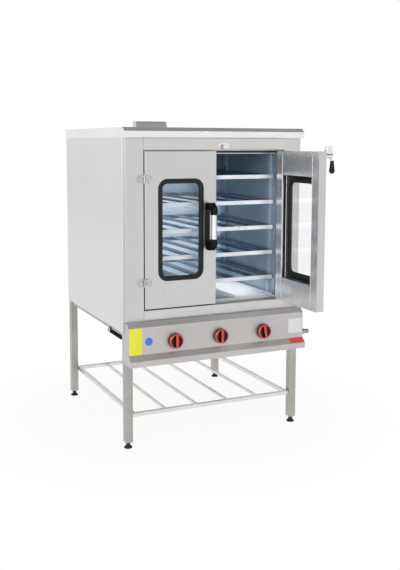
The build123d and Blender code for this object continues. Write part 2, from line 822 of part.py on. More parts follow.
def make_hinge_half(z, side, on_door):
    # side is -1 for the left hinges; the middle knuckle belongs to the door
    x = side * axis_x
    r, part = knuckle_cut()
    direction = -side if on_door else side
    leaf = Pos(x, front, z) * hinge_leaf(leaf_reach, direction)
    rel = axis_y
    barrel = Pos(x, rel, z) * Cylinder(knuckle_radius, hinge_height)
    middle = Pos(x, rel, z) * Cylinder(r + 1, part)
    gap_zone = Pos(x, rel, z) * Cylinder(r + 1, part + 2 * knuckle_gap)
    pin = pin_radius + (running_clearance if on_door else 0)
    bore = Pos(x, rel, z) * Cylinder(pin, 2 * hinge_height)
    if on_door:
        clear = Pos(x, rel, z) * Cylinder(r, 2 * hinge_height)
        outer = leaf - (clear - gap_zone)
        outer -= clear & gap_zone - middle
        return outer + (barrel & middle) - bore
    return (leaf - gap_zone) + (barrel - gap_zone) - bore


def make_hinge_pin(x, z):
    pin = Pos(x, axis_y, z) * Cylinder(pin_radius, hinge_height)
    for end in (-1, 1):
        pin += Pos(x, axis_y, z + end * (hinge_height + pin_head) / 2) * Cylinder(pin_radius + 1.5, pin_head)
    return pin


def make_frame_hinges():
    solids = []
    for z in (hinge_upper, hinge_lower):
        for side in (-1, 1):
            solids += [make_hinge_half(z, side, False), make_hinge_pin(side * axis_x, z)]
    return Compound(solids)


def make_door_hinges(side):
    return Compound([make_hinge_half(z, side, True) for z in (hinge_upper, hinge_lower)])


def make_handle_mount():
    # base plate and two elbows in one moulding; u is the distance out from the door
    u1 = grip_standoff + grip_radius
    u0 = grip_standoff - grip_radius
    z1 = handle_length / 2
    zg = grip_length / 2
    elbow = [(0, zg), (0, z1 - handle_heel_drop), (handle_heel, z1), (u1 - handle_nose, z1),
             (u1, z1 - handle_nose_drop), (u1, zg), (u0, zg), (u0, zg + 14), (u0 - 10, zg + 24), (16, zg + 24),
             (handle_base, zg + 10), (handle_base, zg)]
    outline = [(front - u, z) for u, z in elbow]
    solid = extrude(Plane.YZ * make_face(Polyline(*outline, outline[0])), handle_width)
    solid = fillet(solid.edges().filter_by(Axis.X).group_by(Axis.Y)[0], handle_round)
    solid = fillet(solid.edges().filter_by(Axis.X).group_by(Axis.Z)[-1], handle_crown)
    lower = mirror(solid, Plane.XY)
    plate = block(0, handle_width, front - handle_base, front, -zg, zg)
    mount = solid + lower + plate
    for end in (-1, 1):
        z = end * zg
        mount -= Pos(handle_width / 2, front - grip_standoff, z) * Cylinder(grip_radius * 0.8, 2 * grip_spigot)
    return Pos(handle_x - handle_width / 2, 0, handle_middle) * mount


def make_handle_grip():
    tube = Cylinder(grip_radius, grip_length) + Cylinder(grip_radius * 0.8, grip_length + 2 * grip_spigot)
    tube -= Cylinder(grip_radius * 0.8 - 2.0, 2 * grip_length)
    return Pos(handle_x, front - grip_standoff, handle_middle) * tube


# ---------------------------------------------------------------- latch
def make_catch():
    half = catch_height / 2
    plate = rounded_slab(catch_width, catch_height, half * 0.98, front - catch_plate, front, catch_x, catch_z)
    x0, x1 = catch_x - tongue_width / 2, catch_x + tongue_width / 2
    z1 = catch_z + half * 0.6
    y0 = front - tongue_standoff
    leg = block(x0, x1, y0, front - catch_plate, z1 - tongue_thickness, z1)
    tongue = block(x0, x1, y0 - tongue_thickness, y0, z1 - tongue_drop, z1)
    return plate + fillet((leg + tongue).edges().filter_by(Axis.X).group_by(Axis.Y)[0], 1.2)


def make_latch_plate():
    y0 = front - latch_plate_thickness
    plate = rounded_slab(latch_plate_width, latch_plate_height, 6.0, y0, front, latch_x, latch_z - 4)
    y1 = y0 - latch_hub_length - 2 * latch_play
    pin = disc_y(latch_pin_radius, y1, y0, latch_x, latch_z)
    head = disc_y(latch_pin_radius + latch_head, y1 - latch_head, y1, latch_x, latch_z)
    return plate + pin + head


def make_latch_lever():
    # hub on the pin, a hook that turns in behind the catch's tongue, a finger piece in front of
    # the tongue, a web between them and the bent rod for the knob
    y1 = front - latch_plate_thickness - latch_play
    y0 = y1 - latch_hub_length
    hub = disc_y(latch_hub_radius, y0, y1, latch_x, latch_z)
    y_hook = front - hook_off
    top = latch_z + hook_top
    hook = [(y_hook, latch_z), (y_hook, top - hook_curl), (y_hook - hook_curl_out, top)]
    face = sheet_face(hook, radius=latch_arm, thickness=latch_arm)
    x0, x1 = latch_x - hook_width / 2, latch_x + hook_width / 2
    arm = Pos(x0, 0, 0) * extrude(Plane.YZ * face, hook_width)
    finger = block(x0, x1, y0, y0 + finger_width, latch_z, top)
    finger = fillet(finger.edges().filter_by(Axis.X).group_by(Axis.Z)[-1], hook_width * 0.8)
    web = block(x0, x1, y0, y_hook, latch_z, latch_z + latch_web)
    bore = disc_y(latch_pin_radius + running_clearance, y0 - 1, y1 + 1, latch_x, latch_z)
    return hub + arm + finger + web + make_latch_rod() - bore


def make_latch_rod():
    y0 = front - latch_hub_length * 0.6
    y1 = front - latch_knob_off
    z = latch_z - latch_knob_drop
    points = [(latch_x, y0, latch_z - latch_hub_radius * 0.75),
              (latch_x, y1, z + latch_rod_bend), (latch_x, y1, z - latch_rod_depth)]
    return swept(points, latch_rod_bend, latch_rod_radius)


def make_latch_knob():
    # pear-shaped grip: a ball below, with a side that narrows towards the rod
    r = latch_knob_radius
    h = latch_knob_length
    neck = (latch_knob_neck, 0)
    ball = CenterArc((0, r - h), r, 8, -98)
    side = TangentArc(ball @ 0, neck, tangent=(ball % 0) * -1)
    outline = ball + side + Line(neck, (0, 0)) + Line((0, 0), (0, -h))
    pear = revolve(Plane.XZ * make_face(outline), Axis.Z) - Cylinder(latch_rod_radius, 2 * latch_rod_depth)
    return Pos(latch_x, front - latch_knob_off, latch_z - latch_knob_drop) * pear


def swung(shape):
    return shape.rotate(Axis((axis_x, axis_y, 0), (0, 0, 1)), open_angle)


def collect():
    panel = make_side_panel()
    jamb = make_jamb()
    cover = make_burner_cover()
    nodes = {
        "stand_frame": Compound(make_legs() + make_stand_rails()), "lower_shelf": make_lower_shelf(),
        "side_panel_left": panel, "side_panel_right": mirrored(panel), "back_panel": make_back_panel(),
        "base_pan": make_base_pan(), "roof_lid": make_lid(), "flue_duct": make_duct(),
        "flue_cowl": make_cowl(), "jamb_left": jamb, "jamb_right": mirrored(jamb),
        "top_rail": make_top_rail(), "bottom_rail": make_bottom_rail(), "mouth_frame": make_mouth_frame(),
        "door_seal": make_door_seal(), "oven_liner": make_liner(), "insulation": make_insulation(),
        "rack_supports": make_rack_supports(), "burner_cover_right": cover,
        "burner_cover_left": mirrored(cover), "gas_line": Compound(make_gas_pipes() + make_burners()),
        "gas_valves": make_valves(), "control_panel": make_control_panel(), "panel_cheeks": make_cheeks(),
        "control_tray": make_control_tray(), "frame_hinges": make_frame_hinges(),
        "latch_catch": make_catch(),
        "door_left_skin": make_door_skin(), "door_left_liner": make_door_liner(),
        "door_left_glass": make_glass(), "door_left_gasket": make_gasket(),
        "door_left_hinges": make_door_hinges(-1), "handle_mount": make_handle_mount(),
        "handle_grip": make_handle_grip(),
        "door_right_skin": swung(mirrored(make_door_skin())),
        "door_right_liner": swung(mirrored(make_door_liner())),
        "door_right_glass": swung(mirrored(make_glass())),
        "door_right_gasket": swung(mirrored(make_gasket())),
        "door_right_hinges": swung(make_door_hinges(1)), "latch_plate": swung(make_latch_plate()),
        "latch_lever": swung(make_latch_lever()), "latch_knob": swung(make_latch_knob()),
    }
    for i, z in enumerate(rack_heights()):
        nodes[f"rack_{i + 1}"] = make_rack(z)
    for i, (x, turn) in enumerate(zip(knob_places(), knob_turns)):
        spindle = Axis((x, 0, knob_z), (0, -1, 0))
        nodes[f"valve_plug_{i + 1}"] = make_valve_plug(x).rotate(spindle, turn)
        nodes[f"knob_{i + 1}"] = make_knob(x).rotate(spindle, turn)
        nodes[f"knob_ring_{i + 1}"] = make_knob_ring(x).rotate(spindle, turn)
    foot = make_foot()
    for name, x, y in (("front_left", -leg_x, leg_front_y), ("front_right", leg_x, leg_front_y),
                       ("rear_left", -leg_x, leg_rear_y), ("rear_right", leg_x, leg_rear_y)):
        nodes[f"foot_{name}"] = Pos(x, y, 0) * foot
    return nodes


os.makedirs("parts", exist_ok=True)
for name, shape in collect().items():
    export_step(shape, f"parts/{name}.step")
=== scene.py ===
# %% [markdown]
# # A gas pastry oven on its stand
#
# The oven is a folded sheet steel cabinet with two glazed doors, racks inside, a row of gas
# knobs and a tube stand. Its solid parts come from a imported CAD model. This script dresses
# them: it gives every part a finish and adds the rubber, screws and welds that CAD leaves out.
# Everything is in metres, +Z up, with the doors facing -Y.

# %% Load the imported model
import json
from math import radians

import bpy
import numpy as np
from mathutils import Matrix, Vector


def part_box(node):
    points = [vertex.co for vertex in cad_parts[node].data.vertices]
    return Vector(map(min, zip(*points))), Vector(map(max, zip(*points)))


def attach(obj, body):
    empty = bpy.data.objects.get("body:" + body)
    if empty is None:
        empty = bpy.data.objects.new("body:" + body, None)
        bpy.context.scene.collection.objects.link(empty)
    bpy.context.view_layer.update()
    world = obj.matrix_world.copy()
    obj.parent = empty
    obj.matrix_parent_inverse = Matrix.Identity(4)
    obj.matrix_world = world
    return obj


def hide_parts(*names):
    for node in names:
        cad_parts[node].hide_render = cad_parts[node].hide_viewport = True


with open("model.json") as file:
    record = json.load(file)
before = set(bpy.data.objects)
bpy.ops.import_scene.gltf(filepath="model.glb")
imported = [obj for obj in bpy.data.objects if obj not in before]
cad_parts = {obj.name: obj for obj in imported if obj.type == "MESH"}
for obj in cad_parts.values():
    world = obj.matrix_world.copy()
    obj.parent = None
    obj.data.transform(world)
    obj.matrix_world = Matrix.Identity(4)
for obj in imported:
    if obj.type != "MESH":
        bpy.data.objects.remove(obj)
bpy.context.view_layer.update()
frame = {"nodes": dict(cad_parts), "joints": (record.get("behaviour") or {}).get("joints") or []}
MM = 0.001

# %% [markdown]
# ## The camera
#
# The camera stands in front and to the left, at chest height, turned a quarter of the way
# round the oven. Its place and angle come from lines of the photograph that are known to be
# upright or level. The frame is cut out of a larger picture, which is what the small shift
# stands for.

# %% The camera
camera = bpy.data.objects.new("camera", bpy.data.cameras.new("camera"))
bpy.context.scene.collection.objects.link(camera)
camera_place = Vector((-1.8181, -4.0958, 1.51355))
pan, tilt, roll = 0.43166786, 0.10631958, 0.00216251       # radians: right, down, clockwise
turn = (Matrix.Rotation(-pan, 4, "Z") @ Matrix.Rotation(radians(90) - tilt, 4, "X")
        @ Matrix.Rotation(roll, 4, "Z"))
camera.matrix_world = Matrix.Translation(camera_place) @ turn
camera.data.lens = 50.728
camera.data.sensor_width = 36.0
camera.data.shift_x, camera.data.shift_y = 0.01899, -0.09914
bpy.context.scene.camera = camera
bpy.context.scene.view_settings.view_transform = "Standard"
print("camera at", tuple(round(c, 3) for c in camera_place))

# %% [markdown]
# ## Colours and nodes
#
# Colours are written as the hex values that a paint chart or a screen shows. Shaders count
# light, so one function turns each value to linear. A second function adds a node, fills in
# its settings and plugs in its links, which keeps every material short to read.

# %% Helpers for colours and nodes
def linear(code):
    """The linear colour of an sRGB hex code: each channel below 0.04045 is divided by 12.92,
    and above it (c + 0.055) / 1.055 is raised to 2.4."""
    srgb = np.array([int(code[i:i + 2], 16) for i in (1, 3, 5)]) / 255
    rgb = np.where(srgb <= 0.04045, srgb / 12.92, ((srgb + 0.055) / 1.055) ** 2.4)
    return (*rgb.tolist(), 1.0)


def add(tree, kind, settings=None, links=None):
    """One node of that kind. A setting is a property of the node or the value of an input."""
    node = tree.nodes.new("ShaderNode" + kind)
    for key, value in (settings or {}).items():
        if isinstance(key, str) and hasattr(node, key):
            setattr(node, key, value)
        else:
            node.inputs[key].default_value = value
    for key, socket in (links or {}).items():
        tree.links.new(socket, node.inputs[key])
    return node


def new_material(name):
    """An empty material with its output, as (material, tree, output node)."""
    material = bpy.data.materials.new(name)
    material.use_nodes = True
    material.node_tree.nodes.clear()
    output = add(material.node_tree, "OutputMaterial")
    return material, material.node_tree, output


def finish_with(tree, output, shader):
    tree.links.new(shader.outputs[0], output.inputs["Surface"])


# %% [markdown]
# ## The studio
#
# Steel shows its surroundings more than its own colour, so the room matters as much as the
# metal. The picture looks like one from a white studio, so this one has white walls, a darker
# ceiling and a pale floor. The world gives that to whatever reflects it, and plain white to the camera.
# The ceiling's darkness is what makes the sloping edge of the lid read as a dark band.

# %% The walls and ceiling of the studio
world = bpy.data.worlds.new("white studio")
bpy.context.scene.world = world
world.use_nodes = True
sky = world.node_tree
sky.nodes.clear()
direction = add(sky, "TexCoord").outputs["Generated"]
height = add(sky, "SeparateXYZ", links={"Vector": direction}).outputs["Z"]
from_floor = add(sky, "MapRange", {"From Min": -1.0}, {"Value": height}).outputs[0]
room = add(sky, "ValToRGB", links={"Fac": from_floor})
stops = [(0.0, "#A8A8A8"), (0.40, "#E8E8E8"), (0.5, "#FFFFFF"), (0.66, "#F0F0F0"),
         (0.82, "#949492"), (1.0, "#80807E")]
while len(room.color_ramp.elements) < len(stops):
    room.color_ramp.elements.new(0.5)
for element, (place, code) in zip(room.color_ramp.elements, stops):
    element.position, element.color = place, linear(code)
ray = add(sky, "LightPath")
seen = add(sky, "Math", {"operation": "MAXIMUM"},
           {0: ray.outputs["Is Camera Ray"], 1: ray.outputs["Is Transmission Ray"]})
studio_colour = add(sky, "MixRGB", {"Color2": (1, 1, 1, 1)},
                    {"Fac": seen.outputs[0], "Color1": room.outputs["Color"]})
background = add(sky, "Background", {"Strength": 1.0}, {"Color": studio_colour.outputs[0]})
finish_with(sky, add(sky, "OutputWorld"), background)
print("world with", len(stops), "stops from floor to ceiling")

# %% [markdown]
# Two large soft lamps stand left and right of the camera, as softboxes do. They are big, so
# their edges in the steel stay soft. The floor is white to the camera and to reflections,
# with a quarter of real shading left in it near the oven, so that its shadow stays.

# %% The lamps
def softbox(name, place, target, width, tall, power):
    lamp = bpy.data.lights.new(name, "AREA")
    lamp.shape, lamp.size, lamp.size_y, lamp.energy = "ELLIPSE", width, tall, power
    holder = bpy.data.objects.new(name, lamp)
    aim = (Vector(target) - Vector(place)).to_track_quat("-Z", "Y").to_matrix().to_4x4()
    holder.matrix_world = Matrix.Translation(place) @ aim
    bpy.context.scene.collection.objects.link(holder)
    return holder


softbox("softbox left", (-3.6, -3.4, 2.6), (0, 0, 0.9), 3.6, 3.6, 66)
softbox("softbox right", (4.4, -2.2, 3.0), (0, 0, 0.9), 3.0, 3.0, 14)
# Two small lamps give round glossy things their sharp spark and hardly light the rest.
softbox("spark left", (-3.2, -5.2, 3.0), (0, 0, 1.0), 0.3, 0.3, 12)
softbox("spark right", (2.6, -5.4, 3.2), (0, 0, 1.0), 0.3, 0.3, 8)
# Three more light the chamber: one fills its open mouth, one faces the back wall and one
# shines down under the lowest rack. Nothing sees them directly.
chamber = [softbox("mouth lamp", (0.19, -0.47, 1.10), (0.19, 0.0, 1.02), 0.40, 0.74, 0.42),
           softbox("back wall lamp", (0.10, 0.20, 0.98), (0.10, 0.37, 0.98), 0.50, 0.62, 3.4),
           softbox("floor lamp", (0.19, -0.14, 0.775), (0.19, -0.14, 0.70), 0.34, 0.54, 0.6)]
for lamp in chamber:
    lamp.visible_glossy = lamp.visible_camera = lamp.visible_transmission = False
print("four lamps outside,", len(chamber), "inside")

# %% The floor
def floor_disc(radius, rings, spokes):
    """A flat disc: ring i has radius R * (i / rings) squared, so the cells are small near the
    middle."""
    share = (np.arange(1, rings + 1) / rings) ** 2
    angle = np.arange(spokes) * 2 * np.pi / spokes
    x = radius * np.outer(share, np.cos(angle))
    y = radius * np.outer(share, np.sin(angle))
    points = np.stack([x, y, np.zeros_like(x)], -1).reshape(-1, 3)
    return np.vstack([points, [[0, 0, 0]]])


material, tree, output = new_material("white studio floor paper")
spread = add(tree, "VectorMath", {"operation": "LENGTH"}, {0: add(tree, "TexCoord").outputs["Object"]})
near = add(tree, "MapRange", {"From Min": 0.6, "From Max": 1.3, "To Min": 0.92, "To Max": 1.0},
           {"Value": spread.outputs["Value"]})
ray = add(tree, "LightPath")
looked_at = add(tree, "Math", {"operation": "MAXIMUM"},
                {0: ray.outputs["Is Camera Ray"], 1: ray.outputs["Is Glossy Ray"]})
looked_at = add(tree, "Math", {"operation": "MAXIMUM"},
                {0: looked_at.outputs[0], 1: ray.outputs["Is Transmission Ray"]})
share = add(tree, "Math", {"operation": "MULTIPLY"}, {0: near.outputs[0], 1: looked_at.outputs[0]})
paper = add(tree, "BsdfPrincipled", {"Base Color": linear("#F4F4F4"), "Roughness": 0.9})
white = add(tree, "Emission", {"Color": (1, 1, 1, 1), "Strength": 1.0})
finish_with(tree, output,
            add(tree, "MixShader", {}, {0: share.outputs[0], 1: paper.outputs[0], 2: white.outputs[0]}))
paper_material = material

rings, spokes = 14, 48
floor_mesh = bpy.data.meshes.new("floor")
i, j = np.meshgrid(np.arange(rings - 1), np.arange(spokes), indexing="ij")
k = (j + 1) % spokes
cells = np.stack([i * spokes + j, (i + 1) * spokes + j, (i + 1) * spokes + k, i * spokes + k], -1)
cells = cells.reshape(-1, 4)
fan = [(rings * spokes, s, (s + 1) % spokes) for s in range(spokes)]
floor_mesh.from_pydata(floor_disc(9.0, rings, spokes).tolist(), [], cells.tolist() + fan)
floor_mesh.materials.append(paper_material)
floor = bpy.data.objects.new("floor", floor_mesh)
bpy.context.scene.collection.objects.link(floor)
print("floor with", len(floor_mesh.polygons), "faces")

# %% [markdown]
# ## Sheet metal finishes
#
# Every sheet is stainless or coated steel, ground with a belt or left as it was rolled. What
# tells them apart is the colour of the metal, how sharp its reflections are, and the grain.
# A belt leaves scratches a few tenths of a millimetre wide and a hand long. That is too fine
# to show at this distance, so the grain is drawn 3 mm wide. A slow cloud, as large as a hand,
# changes the gloss where the sheet was wiped or handled, and a very slight wave stands for
# the unevenness of thin sheet.

# %% The metal recipe
def metal(name, light, dark, gloss, grain=None, cloud=150.0, wave=0.0, scratch=0.02, metallic=1.0):
    """A metal whose colour runs from dark to light with the grain and the cloud together.
    grain is the size in mm of one streak along x, y and z. gloss is the lowest and highest
    roughness. wave is the height in mm of the sheet's unevenness."""
    material, tree, output = new_material(name)
    place = add(tree, "TexCoord").outputs["Object"]
    clouds = add(tree, "TexNoise", {"Scale": 1000 / cloud, "Detail": 3.0}, {"Vector": place})
    mixed = clouds.outputs["Fac"]
    bump = None
    if grain:
        stretched = add(tree, "Mapping", {"Scale": tuple(1000 / g for g in grain)}, {"Vector": place})
        streaks = add(tree, "TexNoise", {"Scale": 1.0, "Detail": 2.0}, {"Vector": stretched.outputs[0]})
        mixed = add(tree, "Math", {"operation": "MULTIPLY_ADD", 1: 0.5}, {0: mixed})
        half = add(tree, "Math", {"operation": "MULTIPLY", 1: 0.5}, {0: streaks.outputs["Fac"]})
        tree.links.new(half.outputs[0], mixed.inputs[2])
        mixed = mixed.outputs[0]
        bump = add(tree, "Bump", {"Strength": 1.0, "Distance": scratch * MM},
                   {"Height": streaks.outputs["Fac"]})
    if wave:
        waves = add(tree, "TexNoise", {"Scale": 1000 / 220, "Detail": 0.0}, {"Vector": place})
        bump = add(tree, "Bump", {"Strength": 1.0, "Distance": wave * MM},
                   {"Height": waves.outputs["Fac"], **({"Normal": bump.outputs[0]} if bump else {})})
    colour = add(tree, "ValToRGB", {}, {"Fac": mixed})
    colour.color_ramp.elements[0].position, colour.color_ramp.elements[0].color = 0.3, linear(dark)
    colour.color_ramp.elements[1].position, colour.color_ramp.elements[1].color = 0.7, linear(light)
    rough = add(tree, "MapRange", {"From Min": 0.3, "From Max": 0.7, "To Min": gloss[1], "To Max": gloss[0]},
                {"Value": mixed})
    shader = add(tree, "BsdfPrincipled", {"Metallic": metallic},
                 {"Base Color": colour.outputs["Color"], "Roughness": rough.outputs[0]})
    if bump:
        tree.links.new(bump.outputs[0], shader.inputs["Normal"])
    finish_with(tree, output, shader)
    print("finish:", name)
    return material


# %% [markdown]
# The cabinet is taken to be type 430 stainless with a ground finish. Doors, sides and jambs were cut with
# the grain upright, and the rails, lid and hood with the grain lying along the oven.

# %% Finishes of the cabinet
upright, lying = (3.0, 3.0, 300.0), (300.0, 3.0, 3.0)
steel_upright = metal("ground stainless sheet, grain upright", "#D4D4D3", "#CBCBCA",
                      (0.32, 0.38), upright, 400.0, metallic=0.9)
# The side sheets are lighter than the doors of the same stainless: painted light.
steel_side_painted_light = metal("ground stainless side sheet", "#E4E3E2", "#DDDCDB",
                   (0.34, 0.40), upright, 500.0, metallic=0.9)
steel_lying = metal("ground stainless sheet, grain lying", "#D8D8D6", "#CDCCCA",
                    (0.28, 0.36), lying, 300.0, metallic=0.9)
# The lid is lighter than the rest of the same stainless: painted light.
steel_lid_painted_light = metal("ground stainless lid", "#F2F2F2", "#EAEAEA", (0.26, 0.34), lying, 300.0, metallic=0.9)
steel_panel = metal("ground stainless control panel", "#CFCCCB", "#C6C3C2",
                    (0.40, 0.48), lying, 300.0, metallic=0.65)
# The inner door sheets are lighter than the outer ones of the same stainless: painted light.
steel_inner_painted_light = metal("rolled stainless inner door", "#F1F1F2", "#E3E4E6",
                    (0.20, 0.30), (4.0, 4.0, 160.0), 140.0, 0.4, 0.001, metallic=0.7)
steel_tube = metal("ground stainless tube", "#B9B6B2", "#A6A39F", (0.30, 0.42), upright, 60.0)
# The shelf tubes, and the well's rolled rim, holding strip and seams that share this finish, are lighter
# than the stand's tubes of the same stainless: painted highlight.
steel_painted_highlight = metal("bright stainless shelf tube", "#EAE9E8", "#D8D6D4", (0.26, 0.36), lying, 60.0)

# %% [markdown]
# Inside, the sheets are taken to be aluminised steel. Their colour is painted darker and bluer than
# stainless, as painted shade and the cool light of the chamber, and each sheet is a little uneven. The
# covers over the burners are painted near white: partly a paler sheet of their own, partly painted light
# from the front. The racks are bright zinc, and hinges, catch and latch are polished and plated.

# %% Finishes of the chamber and the fittings
# The blue tint of the chamber and its posts is painted: it stands for the cool, dim light inside.
chamber_sheet = metal("aluminised steel chamber", "#A8BCCB", "#9BAFC0",
                      (0.30, 0.40), None, 240.0, 0.5, metallic=0.5)
post_sheet = metal("aluminised steel posts and runners", "#B4C8D8", "#9DB2C4",
                   (0.26, 0.40), None, 160.0, metallic=0.5)
# Near white: partly the cover's own pale sheet, partly painted light from the front.
cover_sheet = metal("bright burner cover", "#FCFDFE", "#E8EBEE", (0.30, 0.45), None, 30.0, 0.2, metallic=0.1)
hidden_sheet = metal("galvanised sheet", "#B2B5B8", "#9A9EA2", (0.30, 0.45), None, 18.0)
rack_zinc = metal("zinc rack", "#E4E7EC", "#DADEE5", (0.24, 0.32), None, 300.0, metallic=0.35)
# The slats are painted dark and blue behind the bright front bar: painted shade and painted reflection of
# the dark chamber. The two meet behind the bar, so the colour depends on how far back a point lies.
tree = rack_zinc.node_tree
shader = next(n for n in tree.nodes if n.type == "BSDF_PRINCIPLED")
depth = add(tree, "SeparateXYZ", links={"Vector": add(tree, "TexCoord").outputs["Object"]}).outputs["Y"]
back = add(tree, "MapRange", {"From Min": -0.408, "From Max": -0.402}, {"Value": depth}).outputs[0]
bright = shader.inputs["Base Color"].links[0].from_socket
slat_painted_shade = add(tree, "MixRGB", {"Color2": linear("#5C667E")}, {"Fac": back, "Color1": bright})
tree.links.new(slat_painted_shade.outputs[0], shader.inputs["Base Color"])
metal_share = add(tree, "MapRange", {"To Min": 0.35, "To Max": 0.85}, {"Value": back})
tree.links.new(metal_share.outputs[0], shader.inputs["Metallic"])
hinge_metal = metal("cast zinc hinge", "#D2D2D2", "#A6A6A6", (0.14, 0.30), None, 8.0)
chrome = metal("polished plated steel", "#EEEEEF", "#DCDCDE", (0.06, 0.14), None, 12.0)
grip_metal = metal("brushed aluminium grip", "#FAFAF8", "#EDEDEA", (0.32, 0.40), (2.0, 2.0, 60.0))
pipe_zinc = metal("zinc plated pipe", "#B9BABC", "#9C9EA0", (0.24, 0.40), None, 15.0)
brass = metal("turned brass", "#D2AE62", "#B8924A", (0.18, 0.30), None, 10.0)

# %% [markdown]
# ## Rubber, plastic, glass and wool
#
# None of these is a metal, so each gets a colour, a roughness and a fine relief from how it
# was made: moulded rubber is dull with a soft sheen, moulded nylon has a fine spark eroded
# skin, the knobs are glossy thermoset with rounded edges, and the mineral wool is fibrous.

# %% The moulded recipe
def moulded(name, light, dark, gloss, relief, relief_size, coat=0.0, mirror=0.5):
    """A plastic or rubber. relief is the height in mm of its skin's texture and relief_size
    the distance in mm between two of its grains."""
    material, tree, output = new_material(name)
    place = add(tree, "TexCoord").outputs["Object"]
    skin = add(tree, "TexNoise", {"Scale": 1000 / relief_size, "Detail": 2.0}, {"Vector": place})
    handled = add(tree, "TexNoise", {"Scale": 1000 / 60.0, "Detail": 2.0}, {"Vector": place})
    colour = add(tree, "ValToRGB", {}, {"Fac": handled.outputs["Fac"]})
    colour.color_ramp.elements[0].position, colour.color_ramp.elements[0].color = 0.35, linear(dark)
    colour.color_ramp.elements[1].position, colour.color_ramp.elements[1].color = 0.7, linear(light)
    rough = add(tree, "MapRange",
                {"From Min": 0.35, "From Max": 0.65, "To Min": gloss[0], "To Max": gloss[1]},
                {"Value": handled.outputs["Fac"]})
    bump = add(tree, "Bump", {"Strength": 1.0, "Distance": relief * MM}, {"Height": skin.outputs["Fac"]})
    shader = add(tree, "BsdfPrincipled",
                 {"Coat Weight": coat, "Coat Roughness": 0.04, "Specular IOR Level": mirror},
                 {"Base Color": colour.outputs["Color"], "Roughness": rough.outputs[0],
                  "Normal": bump.outputs[0]})
    finish_with(tree, output, shader)
    print("finish:", name)
    return material


# %% Finishes of the moulded parts
window_rubber = moulded("extruded EPDM rubber", "#242425", "#19191A", (0.42, 0.58), 0.03, 1.5, mirror=0.3)
seal_rubber = moulded("silicone door seal", "#343538", "#26272A", (0.45, 0.6), 0.03, 1.5)
nylon = moulded("moulded black nylon", "#101010", "#0A0A0A", (0.14, 0.24), 0.02, 1.0, 0.25, mirror=0.1)
knob_body = moulded("black thermoset knob", "#131212", "#0B0A0A", (0.14, 0.22), 0.01, 1.0, 0.35, mirror=0.15)
knob_mark = moulded("orange red ABS", "#E2492C", "#D43E24", (0.20, 0.30), 0.01, 1.0, 0.5)
foot_rubber = moulded("moulded black foot", "#242425", "#161617", (0.35, 0.5), 0.04, 2.0)
wool = moulded("mineral wool", "#CDBF93", "#A99A70", (0.9, 1.0), 2.0, 6.0)

# %% [markdown]
# The panes are clear toughened glass, 5 mm thick. A real pane shows the white studio in its
# face and lets the chamber show through. Lamps don't pass through a solid glass shader well,
# so light on its way to a lamp goes through a plain transparent one instead. The two are
# mixed by what kind of ray it is, which is a property of the light and not of the viewer.

# %% The glass
material, tree, output = new_material("clear toughened glass")
pane = add(tree, "BsdfPrincipled", {"Base Color": linear("#FFFFFF"), "Roughness": 0.0, "IOR": 1.38,
                                    "Transmission Weight": 1.0})
through = add(tree, "BsdfTransparent", {"Color": linear("#F6FAFA")})
shadow = add(tree, "LightPath").outputs["Is Shadow Ray"]
finish_with(tree, output, add(tree, "MixShader", {}, {0: shadow, 1: pane.outputs[0], 2: through.outputs[0]}))
glass = material

# %% [markdown]
# ## The CAD parts get their finishes
#
# A part whose shape is right stays as it is and only has its material changed. The table
# below names the finish for each part, and the loop puts it in all of its material slots.

# %% Which part has which finish
finishes = {
    steel_upright: "back_panel jamb_left jamb_right door_left_skin door_right_skin mouth_frame",
    steel_side_painted_light: "side_panel_left side_panel_right",
    steel_lying: "flue_cowl top_rail bottom_rail",
    steel_lid_painted_light: "roof_lid",
    steel_panel: "control_panel panel_cheeks",
    steel_inner_painted_light: "door_left_liner door_right_liner",
    steel_tube: "stand_frame",
    steel_painted_highlight: "lower_shelf",
    chamber_sheet: "oven_liner flue_duct",
    post_sheet: "rack_supports",
    cover_sheet: "burner_cover_left burner_cover_right",
    hidden_sheet: "base_pan control_tray",
    rack_zinc: "rack_1 rack_2 rack_3 rack_4 rack_5",
    hinge_metal: "frame_hinges door_left_hinges door_right_hinges",
    chrome: "latch_catch latch_plate latch_lever",
    grip_metal: "handle_grip",
    nylon: "handle_mount latch_knob",
    glass: "door_left_glass door_right_glass",
    pipe_zinc: "gas_line",
    brass: "gas_valves valve_plug_1 valve_plug_2 valve_plug_3",
    knob_body: "knob_1 knob_2 knob_3",
    knob_mark: "knob_ring_1 knob_ring_2 knob_ring_3",
    foot_rubber: "foot_front_left foot_front_right foot_rear_left foot_rear_right",
    window_rubber: "door_left_gasket door_right_gasket",
    seal_rubber: "door_seal",
    wool: "insulation",
}
for finish, names in finishes.items():
    for name in names.split():
        mesh = frame["nodes"][name].data
        mesh.materials.clear()
        mesh.materials.append(finish)
print(sum(len(n.split()) for n in finishes.values()), "of", len(frame["nodes"]), "parts have a finish")


# %% [markdown]
# ## Surfaces from numbers
#
# The added pieces are grids of points worked out all at once: a profile carried along a path,
# or a profile turned about an axis. One function makes the faces of such a grid, and another
# looks at the volume that they enclose and turns them over if they point inwards.

# %% Helpers for grids
def grid_faces(rows, columns, loop_rows, loop_columns):
    """Four-sided faces between neighbours of a grid of rows * columns points. A loop joins the
    last row or column to the first."""
    i, j = np.meshgrid(np.arange(rows if loop_rows else rows - 1),
                       np.arange(columns if loop_columns else columns - 1), indexing="ij")
    i2, j2 = (i + 1) % rows, (j + 1) % columns
    corners = [i * columns + j, i2 * columns + j, i2 * columns + j2, i * columns + j2]
    return np.stack(corners, -1).reshape(-1, 4)


def facing_out(points, faces):
    """The faces, turned over if the solid that they close has a negative volume: the sum over
    the faces of corner a dot (corner b cross corner c), over the two halves of each."""
    a, b, c, d = (points[faces[:, k]] for k in range(4))
    volume = np.einsum("ij,ij->i", a, np.cross(b, c) + np.cross(c, d)).sum()
    return faces if volume > 0 else faces[:, ::-1]


